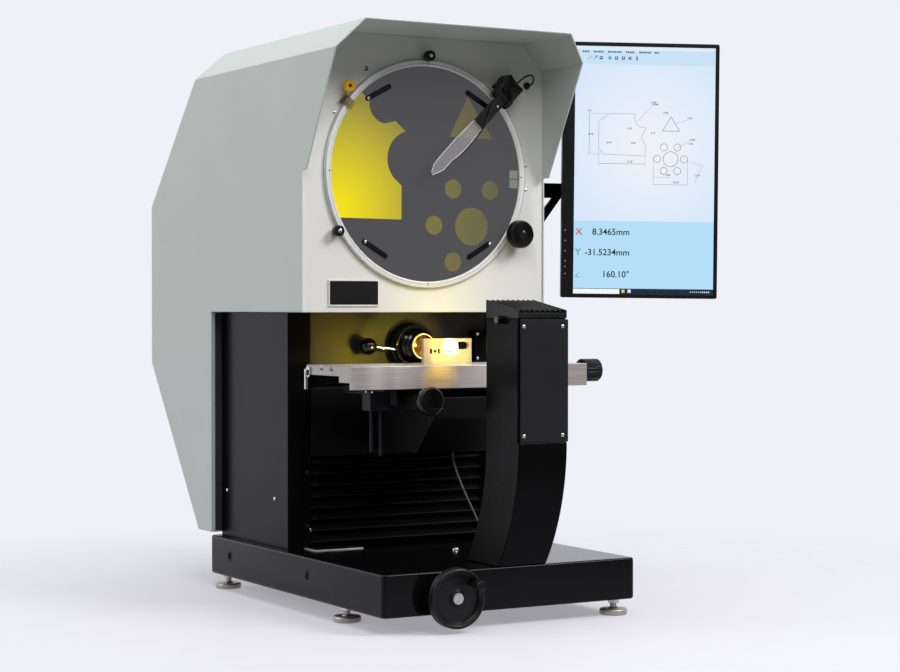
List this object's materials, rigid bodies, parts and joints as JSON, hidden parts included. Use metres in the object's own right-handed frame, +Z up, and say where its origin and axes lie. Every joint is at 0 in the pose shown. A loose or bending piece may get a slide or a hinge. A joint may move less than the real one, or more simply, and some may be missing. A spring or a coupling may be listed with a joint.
{
  "type": "optical comparator",
  "caption": "Horizontal-beam optical comparator: hooded round projection screen above a black cabinet, three-way work stage, lamp arm and side display.",
  "frame": {"origin": "floor point below the middle of the screen's front", "axes": "+X to the operator's right, +Y away from the operator, +Z up"},
  "size_m": [0.8781, 1.102, 1.0741],
  "materials": {
    "black_paint": "fine textured semi-matt black powder coat",
    "wall_paint": "matt black paint",
    "hood_paint": "satin grey-green paint",
    "panel_paint": "satin pale grey paint",
    "frame_paint": "cast, grey primer",
    "knee_paint": "cast, painted black",
    "ground_steel": "ground",
    "bright_steel": "turned and ground",
    "zinc_steel": "zinc plated",
    "bellows_cloth": "coated cloth, pleated",
    "black_plastic": "moulded black",
    "clip_steel": "blackened spring steel",
    "orange_plastic": "moulded orange",
    "vernier_tint": "tinted clear plastic",
    "ring_aluminium": "satin anodised",
    "ground_glass": "finely ground screen glass",
    "lens_coating": "coated lens",
    "clear_plastic": "clear acrylic",
    "mirror_glass": "front silvered",
    "black_anodised": "black anodised",
    "lamp_board": "circuit board",
    "plate_metal": "satin",
    "cable_jacket": "matt",
    "cable_grey": "matt grey",
    "display_plastic": "fine textured black",
    "display_glass": "matt display panel"
  },
  "bodies": {
    "machine": {"base": "black_paint", "foot_locknuts": "zinc_steel", "cabinet_left": "black_paint", "cabinet_right": "black_paint", "lens_wall": "wall_paint", "inner_frame": "frame_paint", "guide_rods": "bright_steel", "upper_bellows": "bellows_cloth", "lower_bellows": "bellows_cloth", "hood": "hood_paint", "screen_panel": "panel_paint", "mirrors": "mirror_glass", "vernier_plate": "vernier_tint", "sensor_bracket": "black_plastic", "sensor_cable": "cable_jacket", "screws": "zinc_steel", "lens_mount": "black_anodised", "lens_barrel": "black_anodised", "lens_glass": "lens_coating", "reflex_box": "black_paint", "stage_cable": "cable_grey", "lamp_arm": "black_paint", "lamp_cover": "black_paint", "heat_sink": "black_anodised", "led_module": "lamp_board", "condenser": "lens_coating", "monitor_bracket": "black_paint"},
    "stage": {"knee": "knee_paint"},
    "focus_slide": {"focus_slide": "knee_paint"},
    "table": {"table": "ground_steel", "test_plate": "plate_metal"},
    "focus_crank": {"focus_crank": "black_plastic"},
    "x_knob": {"x_knob": "black_plastic"},
    "handwheel": {"handwheel": "black_plastic", "lift_shaft": "bright_steel"},
    "wheel_grip": {"wheel_grip": "black_plastic"},
    "lead_screw": {"lead_screw": "bright_steel"},
    "screen": {"screen_ring": "ring_aluminium", "screen_glass": "ground_glass"},
    "drive_knob": {"drive_knob": "black_plastic"},
    "roller_top": {"roller_top": "black_plastic"},
    "roller_left": {"roller_left": "black_plastic"},
    "clamp_knob": {"clamp_knob": "orange_plastic"},
    "sensor_arm": {"sensor_arm": "black_plastic", "sensor_blade": "clear_plastic"},
    "lens_lever": {"lens_lever": "black_plastic"},
    "lamp_thumb_screw": {"lamp_thumb_screw": "black_plastic"},
    "swing_arm": {"swing_arm": "black_paint"},
    "arm_head": {"arm_head": "black_paint"},
    "display": {"vesa_plate": "black_paint", "monitor_shell": "display_plastic", "monitor_screen": "display_glass"},
    "chart_clip_a": {"chart_clip_a": "clip_steel"},
    "chart_clip_b": {"chart_clip_b": "clip_steel"},
    "chart_clip_c": {"chart_clip_c": "clip_steel"},
    "chart_clip_d": {"chart_clip_d": "clip_steel"},
    "foot_fl": {"foot_fl": "zinc_steel"},
    "foot_fr": {"foot_fr": "zinc_steel"},
    "foot_rl": {"foot_rl": "zinc_steel"},
    "foot_rr": {"foot_rr": "zinc_steel"}
  },
  "joints": [
    {"name": "stage_lift", "type": "slide", "parent": "machine", "child": "stage", "axis": [0, 0, 1], "range_m": [-0.097, 0.002], "deforming": ["lower_bellows", "upper_bellows", "stage_cable"]},
    {"name": "focus_travel", "type": "slide", "parent": "stage", "child": "focus_slide", "axis": [0, 1, 0], "range_m": [-0.02, 0.012]},
    {"name": "table_travel", "type": "slide", "parent": "focus_slide", "child": "table", "axis": [1, 0, 0], "range_m": [-0.1, 0.1]},
    {"name": "handwheel_turn", "type": "hinge", "parent": "machine", "child": "handwheel", "pos_m": [-0.13, -0.35, 0.06], "axis": [0, 1, 0], "range_deg": [-1800, 180]},
    {"name": "lead_screw_turn", "type": "hinge", "parent": "machine", "child": "lead_screw", "pos_m": [-0.13, 0.17, 0.2], "axis": [0, 0, 1], "range_deg": [-1800, 180]},
    {"name": "grip_spin", "type": "hinge", "parent": "handwheel", "child": "wheel_grip", "pos_m": [-0.10325, -0.37, 0.08409], "axis": [0, 1, 0], "continuous": true},
    {"name": "focus_crank_turn", "type": "hinge", "parent": "stage", "child": "focus_crank", "pos_m": [-0.0865, -0.16, 0.3869], "axis": [0, 1, 0], "range_deg": [-800, 800]},
    {"name": "x_knob_turn", "type": "hinge", "parent": "table", "child": "x_knob", "pos_m": [0.28, -0.104, 0.435], "axis": [1, 0, 0], "range_deg": [-3700, 3700]},
    {"name": "screen_rotation", "type": "hinge", "parent": "machine", "child": "screen", "pos_m": [0, 0, 0.8015], "axis": [0, 1, 0], "continuous": true},
    {"name": "drive_knob_turn", "type": "hinge", "parent": "machine", "child": "drive_knob", "pos_m": [0.18944, -0.01, 0.69212], "axis": [0, 1, 0], "continuous": true},
    {"name": "roller_top_turn", "type": "hinge", "parent": "machine", "child": "roller_top", "pos_m": [0, -0.01, 1.02025], "axis": [0, 1, 0], "continuous": true},
    {"name": "roller_left_turn", "type": "hinge", "parent": "machine", "child": "roller_left", "pos_m": [-0.18944, -0.01, 0.69212], "axis": [0, 1, 0], "continuous": true},
    {"name": "clamp_knob_turn", "type": "hinge", "parent": "machine", "child": "clamp_knob", "pos_m": [-0.16609, -0.01, 0.95638], "axis": [0, 1, 0], "range_deg": [-180, 180]},
    {"name": "clip_a_swing", "type": "hinge", "parent": "screen", "child": "chart_clip_a", "pos_m": [-0.12549, -0.005, 0.93607], "axis": [0, 1, 0], "range_deg": [-10, 50]},
    {"name": "clip_b_swing", "type": "hinge", "parent": "screen", "child": "chart_clip_b", "pos_m": [0.13011, -0.005, 0.93161], "axis": [0, 1, 0], "range_deg": [-50, 10]},
    {"name": "clip_c_swing", "type": "hinge", "parent": "screen", "child": "chart_clip_c", "pos_m": [-0.13236, -0.005, 0.67368], "axis": [0, 1, 0], "range_deg": [-50, 10]},
    {"name": "clip_d_swing", "type": "hinge", "parent": "screen", "child": "chart_clip_d", "pos_m": [0.13236, -0.005, 0.67368], "axis": [0, 1, 0], "range_deg": [-10, 50]},
    {"name": "sensor_lift", "type": "hinge", "parent": "machine", "child": "sensor_arm", "pos_m": [0.14708, -0.03, 0.94858], "axis": [-0.7071, 0, 0.7071], "range_deg": [0, 75]},
    {"name": "lens_lever_turn", "type": "hinge", "parent": "machine", "child": "lens_lever", "pos_m": [0.018, 0.08, 0.48], "axis": [0, 1, 0], "range_deg": [0, 24]},
    {"name": "lamp_thumb_screw_turn", "type": "hinge", "parent": "machine", "child": "lamp_thumb_screw", "pos_m": [-0.031, -0.325, 0.532], "axis": [1, 0, 0], "range_deg": [-180, 180]},
    {"name": "foot_fl_turn", "type": "hinge", "parent": "machine", "child": "foot_fl", "pos_m": [-0.2295, -0.126, 0.02], "axis": [0, 0, 1], "continuous": true},
    {"name": "foot_fr_turn", "type": "hinge", "parent": "machine", "child": "foot_fr", "pos_m": [0.2295, -0.282, 0.02], "axis": [0, 0, 1], "continuous": true},
    {"name": "foot_rl_turn", "type": "hinge", "parent": "machine", "child": "foot_rl", "pos_m": [-0.2295, 0.389, 0.02], "axis": [0, 0, 1], "continuous": true},
    {"name": "foot_rr_turn", "type": "hinge", "parent": "machine", "child": "foot_rr", "pos_m": [0.2295, 0.389, 0.02], "axis": [0, 0, 1], "continuous": true},
    {"name": "arm_swing", "type": "hinge", "parent": "machine", "child": "swing_arm", "pos_m": [0.2905, 0.15, 0.788], "axis": [0, 0, 1], "range_deg": [-10, 50]},
    {"name": "head_pan", "type": "hinge", "parent": "swing_arm", "child": "arm_head", "pos_m": [0.50846, 0.06069, 0.788], "axis": [0, 0, 1], "range_deg": [-8, 45]},
    {"name": "display_tilt", "type": "hinge", "parent": "arm_head", "child": "display", "pos_m": [0.49325, 0.02806, 0.822], "axis": [0.9063, -0.4226, 0], "range_deg": [-15, 5]}
  ],
  "couplings": [
    {"joint": "handwheel_turn", "follows": "stage_lift", "rad_per_m": 314.16},
    {"joint": "lead_screw_turn", "follows": "stage_lift", "rad_per_m": 314.16},
    {"joint": "focus_crank_turn", "follows": "focus_travel", "rad_per_m": 628.32},
    {"joint": "x_knob_turn", "follows": "table_travel", "rad_per_m": 628.32},
    {"joint": "drive_knob_turn", "follows": "screen_rotation", "ratio": -35.433},
    {"joint": "roller_top_turn", "follows": "screen_rotation", "ratio": -35.433},
    {"joint": "roller_left_turn", "follows": "screen_rotation", "ratio": -35.433}
  ]
}
